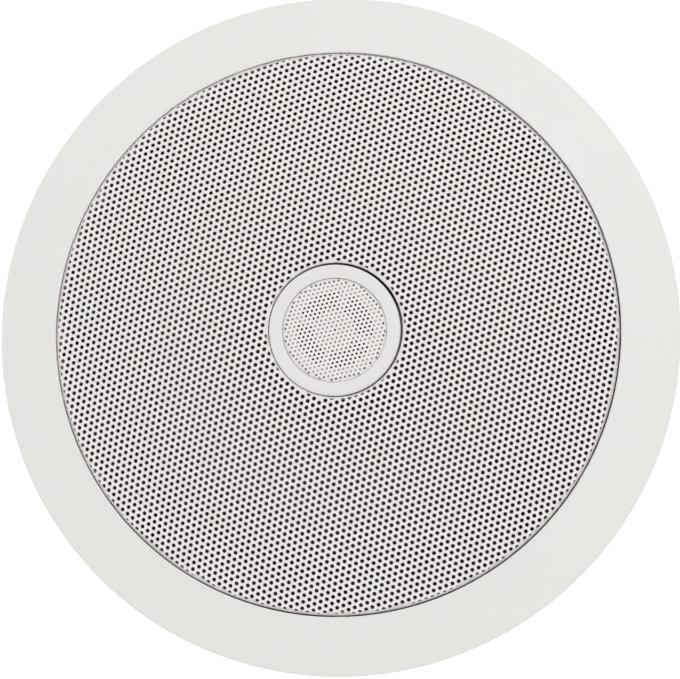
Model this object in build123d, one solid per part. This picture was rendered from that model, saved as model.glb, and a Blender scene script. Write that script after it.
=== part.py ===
from build123d import *
import os
from math import cos, radians, sin, sqrt, tan

# In-ceiling two-way speaker, in millimetres.
# z = 0 is the ceiling plane: the room and the grille are below it, the ceiling void is above it.

# Frame: flange, collar and baffle in one moulding
flange_radius = 102.0
flange_edge = 2.0  # rim thickness below the ceiling
flange_slope = 6.0  # drop of the front face from the rim to the grille
flange_skin = 2.0  # wall of the hollow flange
flange_round = 1.0
recess_round = 0.3
seat_width = 3.5  # flat ring that bears on the ceiling
recess_radius = 84.5  # bore that takes the grille and the woofer
collar_wall = 2.5
gutter_width = 4.0  # flat floor beside the collar, clear of the webs
baffle_height = 4.0  # front face of the baffle above the ceiling plane
baffle_thickness = 3.0
baffle_lap = 9.6  # baffle under the woofer's rim
rest_count = 12  # ribs that the grille stands on
rest_width = 3.0
rest_depth = 1.9
rest_drop = 4.0  # front of the ribs below the ceiling plane
flange_rib_count = 16  # webs inside the hollow flange
flange_rib_width = 1.4
flange_rib_drop = 0.6  # webs below the ceiling plane
flange_rib_slant = 1.5  # how far the inner end of a web leans back
boss_radius = 3.8  # bosses behind the baffle for the woofer's screws
boss_height = 7.0
boss_floor = 1.0  # solid end of a boss

# Grille: domed perforated steel sheet
grille_gap = 0.3  # to the recess, all round
grille_sheet = 0.5
dome_rise = 8.5
grille_roll = 1.5  # outside radius of the turned rim
lip_roll = 0.7  # outside radius of the turned centre hole
lip_depth = 2.6
tweeter_gap = 0.5  # between the centre hole and the tweeter
hole_pitch = 15.0  # coarse stand-in for the fine perforation, at the same open share
hole_share = 0.5  # hole diameter over pitch
hole_margin = 4.5  # plain sheet beside a rim
hole_row_angle = 40.0
hole_sides = 10  # round holes as polygons, to keep the sheet light

# Tweeter
tweeter_radius = 19.55
tweeter_proud = 0.3  # in front of the dome at its hole
bezel_wall = 1.6
bezel_round = 0.8
bezel_crown = 0.2  # edges of the bezel's front behind its crest
crown_round = 10.0
mesh_seat_round = 0.25
mesh_radius = 15.55
mesh_recess = 1.8  # floor of the mesh rim's groove behind the bezel's front
mesh_groove = 1.5  # width of that groove
mesh_sheet = 0.35
mesh_rise = 0.25
mesh_roll = 0.6
mesh_step = 0.45  # mesh rim behind the bezel's front
mesh_pitch = 4.8
mesh_clearance = 0.1
plate_thickness = 1.2
plate_inset = 0.95  # slotted plate behind the bezel's front
slot_inner = 6.15
slot_outer = 11.4
slot_rib_angle = 14.0
slot_angle = 17.0  # direction of the first rib between slots
slot_count = 4
plate_vent = 0.9
dome_clearance = 0.6
dome_height = 2.2
dome_film = 0.25
dome_land = 17.6  # outside radius of the diaphragm's ring
tweeter_roll = 1.4  # half-roll width round the dome
ring_thickness = 0.6
pot_radius = 13.0
pot_depth = 9.0
pot_floor = 2.0
tweeter_coil_radius = 8.9
tweeter_coil_wall = 0.5
tweeter_coil_length = 4.6
tweeter_gap_side = 0.35  # air gap each side of the tweeter coil
pole_plate = 3.0
lid_thickness = 2.0
lid_ring_depth = 2.0
lid_ring_wall = 1.5

# Tweeter post
post_radius = 7.0
post_flange_radius = 10.0
post_flange = 2.5
spigot_radius = 4.1
post_bore = 2.4
spigot_clearance = 0.1
nut_flats = 13.0
nut_height = 3.5
thread_stand = 2.0  # thread that shows above the nut

# Woofer basket, a steel pressing
rim_clearance = 2.0  # to the ribs that the grille stands on
basket_sheet = 1.2
basket_bend = 1.6
rim_width = 13.1
shelf_radius = 42.5
shelf_depth = 27.0  # rim to spider shelf
cup_radius = 36.0
cup_depth = 13.0  # spider shelf to bottom
basket_hole = 15.0
window_count = 4
window_angle = 58.0
window_margin = 3.5

# Woofer moving system
cone_lip = 2.5
cone_sheet = 0.7
cone_flare = 3.0  # how far the flank bows away from straight
cone_neck = 2.0  # collar glued to the former
neck_height = 23.2  # cone depth from its lip to its neck
roll_width = 10.0
surround_sheet = 0.6
gasket_width = 5.0
gasket_clearance = 0.5  # to the heads of the fixing screws
gasket_thickness = 1.5
coil_radius = 12.5  # inside radius of the former
former_wall = 0.25
former_front = 1.5  # former in front of the neck
winding_wall = 0.55
winding_length = 11.0
spider_sheet = 0.5
spider_waves = 4
spider_wave_height = 1.4
spider_collar = 1.6
glue_line = 0.05

# Woofer motor
top_plate_radius = 38.0
top_plate = 5.0
magnet_radius = 42.5
magnet_bore = 20.0
magnet_height = 14.0
yoke_radius = 38.0
yoke_plate = 5.0
gap_inside = 0.3  # pole to former
gap_outside = 0.6  # winding to top plate
motor_chamfer = 0.8
rivet_count = 4
rivet_circle = 26.0
rivet_radius = 1.5
rivet_head = 2.6
rivet_head_height = 1.2
rivet_depth = 3.0

# Woofer fixing screws
fixing_count = 4
fixing_inset = 3.4  # screw to the edge of the woofer's rim
fixing_radius = 1.75
fixing_head = 3.1
fixing_head_height = 2.0
fixing_clearance = 0.3
fixing_play = 0.05  # thread in its boss

# Clamps
clamp_count = 4
clamp_angle = 45.0
clamp_inset = 5.0  # screw to the inside of the collar
clamp_screw = 2.0
clamp_head = 3.5
clamp_head_height = 2.4
clamp_clearance = 0.08  # running fit of the screw
head_clearance = 1.1  # rim scallop round a clamp screw's head
tower_bore = 5.2
tower_wall = 1.8
tower_height = 45.0
tower_cap = 2.5
tower_round = 0.8
tower_setback = 0.4  # stop faces back from the half line
hub_radius = 4.6
hub_height = 10.0
hub_drop = 0.5  # hub below the tower's cap at rest
arm_length = 22.0
arm_width = 7.0
arm_height = 5.0
foot_length = 6.0
foot_depth = 2.0
arm_round = 1.0

# Crossover
tray_radius = 36.0
tray_floor = 2.0
tray_wall = 1.8
tray_height = 6.0
standoff_radius = 2.6
standoff_height = 4.0
board_length = 50.0
board_width = 44.0
board_thickness = 1.6
board_margin = 4.0
board_hole = 6.0
board_screw = 1.2
board_screw_head = 2.2
board_screw_head_height = 1.4
board_screw_depth = 3.0
capacitor_radius = 5.5
capacitor_length = 22.0
capacitor_bevel = 0.8
capacitor_y = 14.0
part_lift = 0.3  # component body above the board
wire_pin = 0.4
inductor_radius = 8.5
inductor_height = 10.0
inductor_flange = 1.0
inductor_core = 4.0
inductor_x = -13.0
inductor_y = -8.0
resistor_length = 14.0
resistor_width = 6.0
resistor_round = 0.5
resistor_x = 16.5
resistor_y = 0.5

# Speaker wire terminal
terminal_length = 22.0
terminal_depth = 14.0
terminal_height = 13.0
terminal_x = 9.0
terminal_pitch = 10.0
entry_radius = 1.5
entry_depth = 6.0
entry_height = 4.5
lever_length = 5.0
lever_width = 6.0
lever_height = 8.0
lever_proud = 4.0
lever_clearance = 0.3
lever_round = 0.6
terminal_round = 0.4
lever_travel = 2.5
contact_width = 4.0
contact_thickness = 0.5
contact_height = 6.5

# Tag strip and leads
strip_width = 18.0
strip_thickness = 1.5
strip_inner = 38.0
strip_outer = 53.0
tag_width = 3.0
tag_length = 7.0
tag_thickness = 0.4
tag_spacing = 10.0
tag_overhang = 3.0
solder_gap = 0.35  # end of a lead to its joint
tinsel_radius = 0.45
lead_radius = 0.8
tweeter_lead_radius = 0.5
bend_share = 0.45  # of the shorter run beside a bend

STAND = (Align.CENTER, Align.CENTER, Align.MIN)
HANG = (Align.CENTER, Align.CENTER, Align.MAX)

# Levels worked out from the sizes above
collar_radius = recess_radius + collar_wall
rim_radius = recess_radius - rest_depth - rim_clearance
baffle_opening = rim_radius - baffle_lap
clamp_circle = recess_radius - clamp_inset
baffle_back = baffle_height + baffle_thickness
boss_back = baffle_back + boss_height
grille_radius = recess_radius - grille_gap
grille_edge = -flange_edge - flange_slope
grille_apex = grille_edge - dome_rise
dome_sphere = (grille_radius ** 2 + dome_rise ** 2) / (2 * dome_rise)
centre_hole = tweeter_radius + tweeter_gap


def dome_level(radius):
    return grille_apex + dome_sphere - sqrt(dome_sphere ** 2 - radius ** 2)


tweeter_front = dome_level(centre_hole) - tweeter_proud
plate_front = tweeter_front + plate_inset
groove_floor = tweeter_front + mesh_recess
plate_back = groove_floor + plate_thickness
ring_front = plate_back + dome_clearance + dome_height
pot_front = ring_front + ring_thickness
pot_back = pot_front + pot_depth
lid_back = pot_back + lid_thickness
bezel_bore = tweeter_radius - bezel_wall

dish_radius = rim_radius - rim_width
fixing_circle = rim_radius - fixing_inset
gasket_outer = fixing_circle - fixing_head - gasket_clearance
gasket_inner = gasket_outer - gasket_width
roll_outer = gasket_inner - surround_sheet
cone_radius = roll_outer - roll_width
rim_front = baffle_height - basket_sheet
land_front = rim_front - surround_sheet
shelf_front = rim_front + shelf_depth
shelf_back = shelf_front + basket_sheet
cup_front = shelf_front + cup_depth
cup_back = cup_front + basket_sheet
top_plate_back = cup_back + top_plate
magnet_back = top_plate_back + magnet_height
yoke_back = magnet_back + yoke_plate

former_outer = coil_radius + former_wall
winding_outer = former_outer + glue_line + winding_wall
pole_radius = coil_radius - gap_inside
top_plate_bore = winding_outer + gap_outside
winding_middle = (cup_back + top_plate_back) / 2
winding_back = winding_middle + winding_length / 2
neck_level = rim_front + neck_height

tray_back = yoke_back + tray_floor
board_level = tray_back + standoff_height
board_top = board_level + board_thickness
terminal_y = -(board_width - terminal_depth) / 2

tag_away = strip_outer + tag_overhang / 2
tag_side = tag_spacing / 2
tag_front = shelf_back + strip_thickness
tag_back = tag_front + tag_thickness

tower_outer = tower_bore + tower_wall
tower_top = baffle_back + tower_height
hub_top = tower_top - hub_drop
hub_bottom = hub_top - hub_height

# Routes of the leads as (away from the axis, sideways, up), each laid twice, left and right
tinsel_route = [(27, 4.0, 15.6), (33, 4.2, 18.6), (41, 4.5, 19.6), (tag_away - 6, 4.8, 22.0),
                (tag_away - 1.5, tag_side, 26.5), (tag_away, tag_side, tag_front - solder_gap)]
woofer_lead_route = [(strip_outer - 1.5, tag_side, tag_back + solder_gap), (strip_outer - 0.7, tag_side, 43),
                     (50, 4.5, 53.5), (47, 3.6, 63.5), (43, 2.9, 72.5), (37.5, 2.5, 79.5), (30, 2.3, 81.2),
                     (24.6, 2.2, 79.6), (23.2, 2.2, board_top + solder_gap)]
tweeter_lead_route = [(0, 1.1, pot_back + solder_gap), (0, 1.1, 77.5), (-3.6, 1.3, 81.2), (-7.8, 1.5, 80.2),
                      (-9.4, 1.6, board_top + solder_gap)]


def section(points, rounds=()):
    face = make_face(Polyline(*points, close=True))
    for corner, radius in rounds:
        vertex = face.vertices().sort_by_distance((corner[0], corner[1], 0))[0]
        face = fillet(vertex, radius)
    return face


def turned(face):
    return revolve(Plane.XZ * face, Axis.Z)


def disc(radius, low, high):
    return Pos(Z=low) * Cylinder(radius, high - low, align=STAND)


def pipe(inner, outer, low, high):
    return disc(outer, low, high) - disc(inner, low, high)


def sheet(path, thickness):
    wall = offset(path, amount=thickness, kind=Kind.INTERSECTION, side=Side.RIGHT, closed=True)
    return make_face(wall)


def around(count, radius, turn=0.0):
    return [Rot(Z=turn + 360.0 * i / count) * Pos(X=radius) for i in range(count)]


def sector(inner, outer, middle, angle):
    reach = 2 * outer
    half = radians(angle / 2)
    wedge = Polygon((0, 0), (reach, -reach * sin(half) / cos(half)),
                    (reach, reach * sin(half) / cos(half)), align=None)
    return Rot(Z=middle) * ((Circle(outer) - Circle(inner)) & wedge)


def lattice(pitch, turn, keep):
    reach = int(2 * flange_radius / pitch)
    spots = []
    for i in range(-reach, reach + 1):
        for j in range(-reach, reach + 1):
            spot = Vector((i + j / 2 + 0.5) * pitch, (j + 1 / 3) * pitch * sqrt(3) / 2).rotate(Axis.Z, turn)
            if keep(spot.length):
                spots.append(Pos(spot.X, spot.Y))
    return spots


def perforation(spots, radius):
    return Sketch() + [spot * RegularPolygon(radius, hole_sides) for spot in spots]


def flange_level(radius):
    return -flange_edge - flange_slope * (flange_radius - radius) / (flange_radius - recess_radius)


def clamp_places():
    return around(clamp_count, clamp_circle, clamp_angle)


def clamp_tower():
    ring = Circle(tower_outer) - Circle(tower_bore)
    open_side = Rot(Z=45) * Pos(X=tower_outer - tower_setback) * Rectangle(2 * tower_outer, 4 * tower_outer)
    wall = Pos(Z=baffle_back) * extrude(ring - open_side, tower_height)
    cap = disc(tower_outer, tower_top, tower_top + tower_cap)
    rim = cap.edges().filter_by(GeomType.CIRCLE).sort_by(Axis.Z)[-1]
    return wall + fillet(rim, tower_round)


def flange_ribs():
    inner = collar_radius + gutter_width
    outer = flange_radius - seat_width / 2
    web = section([
        (inner, flange_level(inner) + flange_skin / 2),
        (outer, flange_level(outer) + flange_skin / 2),
        (outer, -flange_rib_drop),
        (inner + flange_rib_slant, -flange_rib_drop),
        (inner, flange_level(inner) + flange_skin),
    ])
    rib = extrude(Plane.XZ * web, flange_rib_width / 2, both=True)
    return [place * rib for place in around(flange_rib_count, 0)]


def mounting_frame():
    seat_inner = flange_radius - seat_width
    gutter = collar_radius + gutter_width
    gutter_floor = flange_level(gutter) + flange_skin
    rim_corner = (flange_radius, -flange_edge)
    recess_corner = (recess_radius, grille_edge)
    body = turned(section([
        recess_corner,
        rim_corner,
        (flange_radius, 0),
        (seat_inner, 0),
        (seat_inner, flange_level(seat_inner) + flange_skin),
        (gutter, gutter_floor),
        (collar_radius, gutter_floor),
        (collar_radius, baffle_back),
        (baffle_opening, baffle_back),
        (baffle_opening, baffle_height),
        (recess_radius, baffle_height),
    ], [(rim_corner, flange_round), (recess_corner, recess_round)]))
    rest = Box(rest_depth + collar_wall / 2, rest_width, rest_drop + baffle_height + baffle_thickness / 2,
               align=(Align.MIN, Align.CENTER, Align.MIN))
    for place in around(rest_count, recess_radius - rest_depth):
        body += place * Pos(Z=-rest_drop) * rest
    body += flange_ribs()
    for place in clamp_places():
        body += place * clamp_tower()
        body -= place * disc(clamp_screw + clamp_clearance, 0, tower_top + 2 * tower_cap)
    for place in around(fixing_count, fixing_circle):
        body += place * disc(boss_radius, baffle_height, boss_back)
        body -= place * disc(fixing_radius + fixing_play, 0, boss_back - boss_floor)
    return body


def grille_outline(inset, low):
    radius = grille_radius - inset
    hole = centre_hole + inset
    sphere = dome_sphere - inset

    def level(r):
        return grille_apex + dome_sphere - sqrt(sphere ** 2 - r ** 2)

    middle = (radius + hole) / 2
    edges = Line((hole, low), (hole, level(hole)))
    edges += ThreePointArc((hole, level(hole)), (middle, level(middle)), (radius, level(radius)))
    edges += Line((radius, level(radius)), (radius, low)) + Line((radius, low), (hole, low))
    face = make_face(edges)
    for corner, roll in (((radius, level(radius)), grille_roll), ((hole, level(hole)), lip_roll)):
        vertex = face.vertices().sort_by_distance((corner[0], corner[1], 0))[0]
        face = fillet(vertex, roll - inset)
    return face


def front_grille():
    skirt = -rest_drop
    profile = grille_outline(0, skirt) - grille_outline(grille_sheet, skirt)
    lip_end = dome_level(centre_hole) + lip_depth
    trim = Pos(centre_hole, (lip_end + skirt) / 2) * Rectangle(4 * grille_sheet, skirt - lip_end)
    sheet_metal = turned(profile - trim)
    inner = centre_hole + hole_margin
    outer = grille_radius - hole_margin
    radius = hole_pitch * hole_share / 2
    spots = lattice(hole_pitch, hole_row_angle, lambda r: inner + radius < r < outer - radius)
    return sheet_metal - Pos(Z=2 * grille_apex) * extrude(perforation(spots, radius), -2 * grille_apex)


def tweeter_bezel():
    edge_front = tweeter_front + bezel_crown
    corner = (tweeter_radius, edge_front)
    inner_corner = (mesh_radius, edge_front)
    crest = ((tweeter_radius + mesh_radius) / 2, tweeter_front)
    plate_edge = mesh_radius - mesh_groove
    body = turned(section([
        inner_corner,
        crest,
        corner,
        (tweeter_radius, pot_back),
        (bezel_bore, pot_back),
        (bezel_bore, ring_front),
        (slot_outer + bezel_wall, ring_front),
        (slot_outer + bezel_wall, plate_back),
        (0, plate_back),
        (0, plate_front),
        (plate_edge, plate_front),
        (plate_edge, groove_floor),
        (mesh_radius, groove_floor),
    ], [(corner, bezel_round), (inner_corner, mesh_seat_round), (crest, crown_round)]))
    step = 360.0 / slot_count
    for i in range(slot_count):
        slot = sector(slot_inner, slot_outer, slot_angle + step * (i + 0.5), step - slot_rib_angle)
        body -= Pos(Z=tweeter_front) * extrude(slot, plate_back + plate_thickness - tweeter_front)
    return body - disc(plate_vent, tweeter_front, plate_back + plate_thickness)


def mesh_outline(inset):
    edge = mesh_radius - mesh_clearance
    sphere = (edge ** 2 + mesh_rise ** 2) / (2 * mesh_rise) - inset
    centre = tweeter_front + mesh_step - mesh_rise + inset + sphere
    radius = edge - inset

    def level(r):
        return centre - sqrt(sphere ** 2 - r ** 2)

    edges = Line((0, groove_floor), (0, level(0)))
    edges += ThreePointArc((0, level(0)), (radius / 2, level(radius / 2)), (radius, level(radius)))
    edges += Line((radius, level(radius)), (radius, groove_floor))
    edges += Line((radius, groove_floor), (0, groove_floor))
    face = make_face(edges)
    vertex = face.vertices().sort_by_distance((radius, level(radius), 0))[0]
    return fillet(vertex, mesh_roll - inset)


def tweeter_mesh():
    cap = turned(mesh_outline(0) - mesh_outline(mesh_sheet))
    radius = mesh_pitch * hole_share / 2
    spots = lattice(mesh_pitch, hole_row_angle, lambda r: r < mesh_radius - mesh_roll - 2 * radius)
    return cap - Pos(Z=2 * tweeter_front) * extrude(perforation(spots, radius), -2 * tweeter_front)


def tweeter_diaphragm():
    coil = tweeter_coil_radius
    coil_land = coil + tweeter_coil_wall
    roll_end = coil_land + tweeter_roll
    sphere = (coil ** 2 + dome_height ** 2) / (2 * dome_height)
    crown = ring_front - dome_height
    half_level = crown + sphere - sqrt(sphere ** 2 - (coil / 2) ** 2)
    path = Line((dome_land, ring_front), (roll_end, ring_front))
    path += ThreePointArc((roll_end, ring_front), ((roll_end + coil_land) / 2, ring_front - tweeter_roll / 2),
                          (coil_land, ring_front))
    path += Line((coil_land, ring_front), (coil, ring_front))
    path += ThreePointArc((coil, ring_front), (coil / 2, half_level), (0, crown))
    return turned(sheet(path, dome_film)) + pipe(roll_end + dome_film, dome_land, ring_front, pot_front)


def tweeter_voice_coil():
    low = ring_front + dome_film + glue_line
    return pipe(tweeter_coil_radius, tweeter_coil_radius + tweeter_coil_wall, low, low + tweeter_coil_length)


def tweeter_yoke():
    bore = tweeter_coil_radius + tweeter_coil_wall + tweeter_gap_side
    return pipe(bore, pot_radius, pot_front, pot_back) + disc(pot_radius, pot_back - pot_floor, pot_back)


def tweeter_magnet():
    radius = tweeter_coil_radius - 2 * tweeter_gap_side
    return disc(radius, pot_front + pole_plate, pot_back - pot_floor)


def tweeter_pole_plate():
    return disc(tweeter_coil_radius - tweeter_gap_side, pot_front, pot_front + pole_plate)


def tweeter_lid():
    ring_outer = bezel_bore - mesh_clearance
    body = disc(tweeter_radius, pot_back, lid_back)
    body += pipe(ring_outer - lid_ring_wall, ring_outer, pot_back - lid_ring_depth, pot_back)
    return body - disc(post_bore, pot_back - lid_thickness, lid_back + lid_thickness)


def tweeter_post():
    body = disc(post_flange_radius, lid_back, lid_back + post_flange)
    body += disc(post_radius, lid_back, cup_back)
    body += disc(spigot_radius, cup_back, tray_back + nut_height + thread_stand)
    return body - disc(post_bore, lid_back - post_flange, board_top + nut_height + thread_stand)


def post_nut():
    hexagon = RegularPolygon(nut_flats / 2, 6, major_radius=False)
    nut = extrude(Pos(Z=tray_back) * hexagon, nut_height)
    return nut - disc(spigot_radius + spigot_clearance, tray_back - nut_height, tray_back + 2 * nut_height)


def clamp_scallops():
    return [place * disc(clamp_head + head_clearance, -rim_radius, rim_radius) for place in clamp_places()]


def woofer_basket():
    path = FilletPolyline((rim_radius, rim_front), (dish_radius, rim_front), (shelf_radius, shelf_front),
                          (cup_radius, shelf_front), (cup_radius, cup_front), (basket_hole, cup_front),
                          radius=basket_bend)
    body = turned(sheet(path, basket_sheet))
    inner = shelf_radius + window_margin
    outer = dish_radius - window_margin
    for i in range(window_count):
        window = sector(inner, outer, 360.0 * i / window_count, window_angle)
        body -= Pos(Z=rim_front) * extrude(window, shelf_depth)
    body -= clamp_scallops()
    for place in around(fixing_count, fixing_circle):
        body -= place * disc(fixing_radius + fixing_clearance, 0, baffle_back)
    for place in around(rivet_count, rivet_circle, clamp_angle):
        body -= place * disc(rivet_radius + glue_line, cup_front - basket_sheet, cup_back + basket_sheet)
    return body


def woofer_surround():
    crest = ((roll_outer + cone_radius) / 2, land_front - roll_width / 2)
    path = Line((gasket_outer, land_front), (roll_outer, land_front))
    path += ThreePointArc((roll_outer, land_front), crest, (cone_radius, land_front))
    path += Line((cone_radius, land_front), (cone_radius - cone_lip, land_front))
    return turned(sheet(path, surround_sheet))


def woofer_gasket():
    return pipe(gasket_inner, gasket_outer, land_front - gasket_thickness, land_front)


def woofer_cone():
    outer = cone_radius - cone_lip
    inner = former_outer + glue_line
    middle = ((outer + inner) / 2 - cone_flare, (rim_front + neck_level) / 2 - cone_flare)
    path = Line((cone_radius, rim_front), (outer, rim_front))
    path += ThreePointArc((outer, rim_front), middle, (inner, neck_level))
    path += Line((inner, neck_level), (inner, neck_level + cone_neck))
    return turned(sheet(path, cone_sheet))


def woofer_former():
    return pipe(coil_radius, former_outer, neck_level - former_front, winding_back)


def woofer_winding():
    return pipe(former_outer + glue_line, winding_outer, winding_back - winding_length, winding_back)


def woofer_spider():
    level = shelf_front - spider_sheet
    outer = cup_radius + basket_bend
    inner = former_outer + glue_line + spider_collar
    step = (outer - inner) / (2 * spider_waves)
    points = [(shelf_radius - basket_bend, level), (outer, level)]
    for i in range(2 * spider_waves - 1):
        side = 1 if i % 2 else -1
        points.append((outer - step * (i + 1), level + side * spider_wave_height / 2))
    points += [(inner, level), (former_outer + glue_line, level)]
    return turned(sheet(Polyline(*points), spider_sheet))


def woofer_top_plate():
    body = pipe(top_plate_bore, top_plate_radius, cup_back, top_plate_back)
    for place in around(rivet_count, rivet_circle, clamp_angle):
        body -= place * disc(rivet_radius + glue_line, cup_back - rivet_depth, cup_back + rivet_depth)
    return body


def woofer_magnet():
    body = pipe(magnet_bore, magnet_radius, top_plate_back, magnet_back)
    rims = [edge for edge in body.edges().filter_by(GeomType.CIRCLE) if edge.radius > magnet_bore]
    return chamfer(rims, motor_chamfer)


def woofer_yoke():
    body = disc(yoke_radius, magnet_back, yoke_back)
    rims = body.edges().filter_by(GeomType.CIRCLE).sort_by(Axis.Z)[-1]
    body = chamfer(rims, motor_chamfer) + disc(pole_radius, cup_back, yoke_back)
    return body - disc(spigot_radius + spigot_clearance, cup_back - yoke_plate, yoke_back + yoke_plate)


def basket_rivets():
    rivets = Part()
    for place in around(rivet_count, rivet_circle, clamp_angle):
        head = disc(rivet_head, cup_front - rivet_head_height, cup_front)
        rivets += place * (head + disc(rivet_radius, cup_front, cup_back + rivet_depth))
    return rivets


def woofer_screws():
    screws = Part()
    for place in around(fixing_count, fixing_circle):
        head = disc(fixing_head, rim_front - fixing_head_height, rim_front)
        head = chamfer(head.edges().filter_by(GeomType.CIRCLE).sort_by(Axis.Z)[0], fixing_head_height / 2)
        screws += place * (head + disc(fixing_radius, rim_front, boss_back - 2 * boss_floor))
    return screws


def clamp_screw_part(place):
    head = disc(clamp_head, baffle_height - clamp_head_height, baffle_height)
    head = chamfer(head.edges().filter_by(GeomType.CIRCLE).sort_by(Axis.Z)[0], clamp_head_height / 2)
    return place * (head + disc(clamp_screw, baffle_height, tower_top + tower_cap))


def clamp_arm_part(place):
    bar = Box(arm_width, arm_length, arm_height, align=(Align.CENTER, Align.MIN, Align.MIN))
    foot = Box(arm_width, foot_length, foot_depth + arm_height, align=(Align.CENTER, Align.MAX, Align.MIN))
    arm = Pos(Z=hub_bottom) * bar + Pos(Y=arm_length, Z=hub_bottom - foot_depth) * foot
    tip = arm.edges().filter_by(Axis.Z).sort_by(Axis.Y)[-2:]
    arm = fillet(tip, arm_round) + disc(hub_radius, hub_bottom, hub_top)
    return place * (arm - disc(clamp_screw + clamp_clearance, hub_bottom - hub_height, tower_top))


def standoff_places():
    across = board_length / 2 - board_margin
    along = board_width / 2 - board_margin
    return [Pos(across, along), Pos(-across, along), Pos(-across, -along)]


def crossover_tray():
    body = disc(tray_radius, yoke_back, tray_back + tray_height)
    body -= disc(tray_radius - tray_wall, tray_back, tray_back + 2 * tray_height)
    for place in standoff_places():
        body += place * disc(standoff_radius, yoke_back, board_level)
        body -= place * disc(board_screw + glue_line, board_level - board_screw_depth, board_level)
    return body - disc(spigot_radius + spigot_clearance, yoke_back - tray_floor, tray_back + tray_floor)


def crossover_board():
    body = Pos(Z=board_level) * Box(board_length, board_width, board_thickness, align=STAND)
    body = fillet(body.edges().filter_by(Axis.Z), board_margin / 2)
    body -= disc(board_hole, board_level - board_thickness, board_top + board_thickness)
    for place in standoff_places():
        body -= place * disc(board_screw + glue_line, board_level - board_thickness, 2 * board_top)
    return body


def board_screws():
    screws = Part()
    for place in standoff_places():
        head = disc(board_screw_head, board_top, board_top + board_screw_head_height)
        screws += place * (head + disc(board_screw, board_level - board_screw_depth, board_top))
    return screws


def capacitor():
    level = board_top + part_lift + capacitor_radius
    body = Pos(0, capacitor_y, level) * Rot(Y=90) * Cylinder(capacitor_radius, capacitor_length)
    body = chamfer(body.edges().filter_by(GeomType.CIRCLE), capacitor_bevel)
    reach = capacitor_length / 2 - 2 * wire_pin
    for side in (-1, 1):
        body += Pos(side * reach, capacitor_y) * disc(wire_pin, board_top, level)
    return body


def inductor_bobbin():
    top = board_top + inductor_height
    body = disc(inductor_radius, board_top, board_top + inductor_flange)
    body += disc(inductor_core, board_top, top) + disc(inductor_radius, top - inductor_flange, top)
    return Pos(inductor_x, inductor_y) * body


def inductor_winding():
    top = board_top + inductor_height - inductor_flange
    return Pos(inductor_x, inductor_y) * pipe(inductor_core + glue_line, inductor_radius - inductor_flange,
                                              board_top + inductor_flange, top)


def resistor():
    body = Box(resistor_width, resistor_length, resistor_width, align=STAND)
    return Pos(resistor_x, resistor_y, board_top) * fillet(body.edges(), resistor_round)


def lever_places():
    return [Pos(terminal_x + side * terminal_pitch / 2, terminal_y) for side in (-1, 1)]


def contact_strip(clearance):
    strip = Box(contact_width + 2 * clearance, contact_thickness + 2 * clearance,
                contact_height + clearance, align=STAND)
    return Pos(Y=entry_depth + (contact_thickness - terminal_depth) / 2, Z=board_top) * strip


def terminal_block():
    body = Box(terminal_length, terminal_depth, terminal_height, align=STAND)
    body = Pos(terminal_x, terminal_y, board_top) * fillet(body.edges().filter_by(Axis.Z), terminal_round)
    pocket = Pos(Y=lever_length / 2, Z=board_top + terminal_height) * Box(
        lever_width + 2 * lever_clearance, lever_length + 2 * lever_clearance,
        lever_height - lever_proud + lever_travel + lever_clearance, align=HANG)
    mouth = Pos(Y=-terminal_depth / 2, Z=board_top + entry_height) * Rot(X=90)
    entry = mouth * Cylinder(entry_radius, 2 * entry_depth)
    for place in lever_places():
        body -= [place * pocket, place * entry, place * contact_strip(glue_line)]
    return body


def terminal_contacts():
    return Part() + [place * contact_strip(0) for place in lever_places()]


def terminal_lever(place):
    top = board_top + terminal_height + lever_proud
    lever = Box(lever_width, lever_length, lever_height, align=HANG)
    lever = fillet(lever.edges().group_by(Axis.Z)[-1], lever_round)
    return place * Pos(Y=lever_length / 2, Z=top) * lever


def strip_place():
    return Rot(Z=180)


def tag_strip():
    length = strip_outer - strip_inner
    return strip_place() * Pos(strip_inner + length / 2, 0, shelf_back) * Box(
        length, strip_width, strip_thickness, align=STAND)


def solder_tags():
    tags = Part()
    for side in (-1, 1):
        tag = Box(tag_length, tag_width, tag_thickness, align=(Align.MAX, Align.CENTER, Align.MIN))
        place = Pos(strip_outer + tag_overhang, side * tag_spacing / 2, shelf_back + strip_thickness)
        tags += strip_place() * place * tag
    return tags


def wire(points, radius):
    corners = [Vector(*point) for point in points]
    bends = []
    for before, corner, after in zip(corners, corners[1:], corners[2:]):
        arrive = corner - before
        leave = after - corner
        turn = radians(arrive.get_angle(leave))
        bends.append(bend_share * min(arrive.length, leave.length) / tan(turn / 2))
    path = FilletPolyline(*corners, radius=bends)
    start = Plane(origin=path @ 0, z_dir=path % 0)
    return sweep(start * Circle(radius), path=path)


def wire_pair(route, radius):
    wires = Part()
    for side in (-1, 1):
        wires += strip_place() * wire([(out, side * across, up) for out, across, up in route], radius)
    return wires


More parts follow.
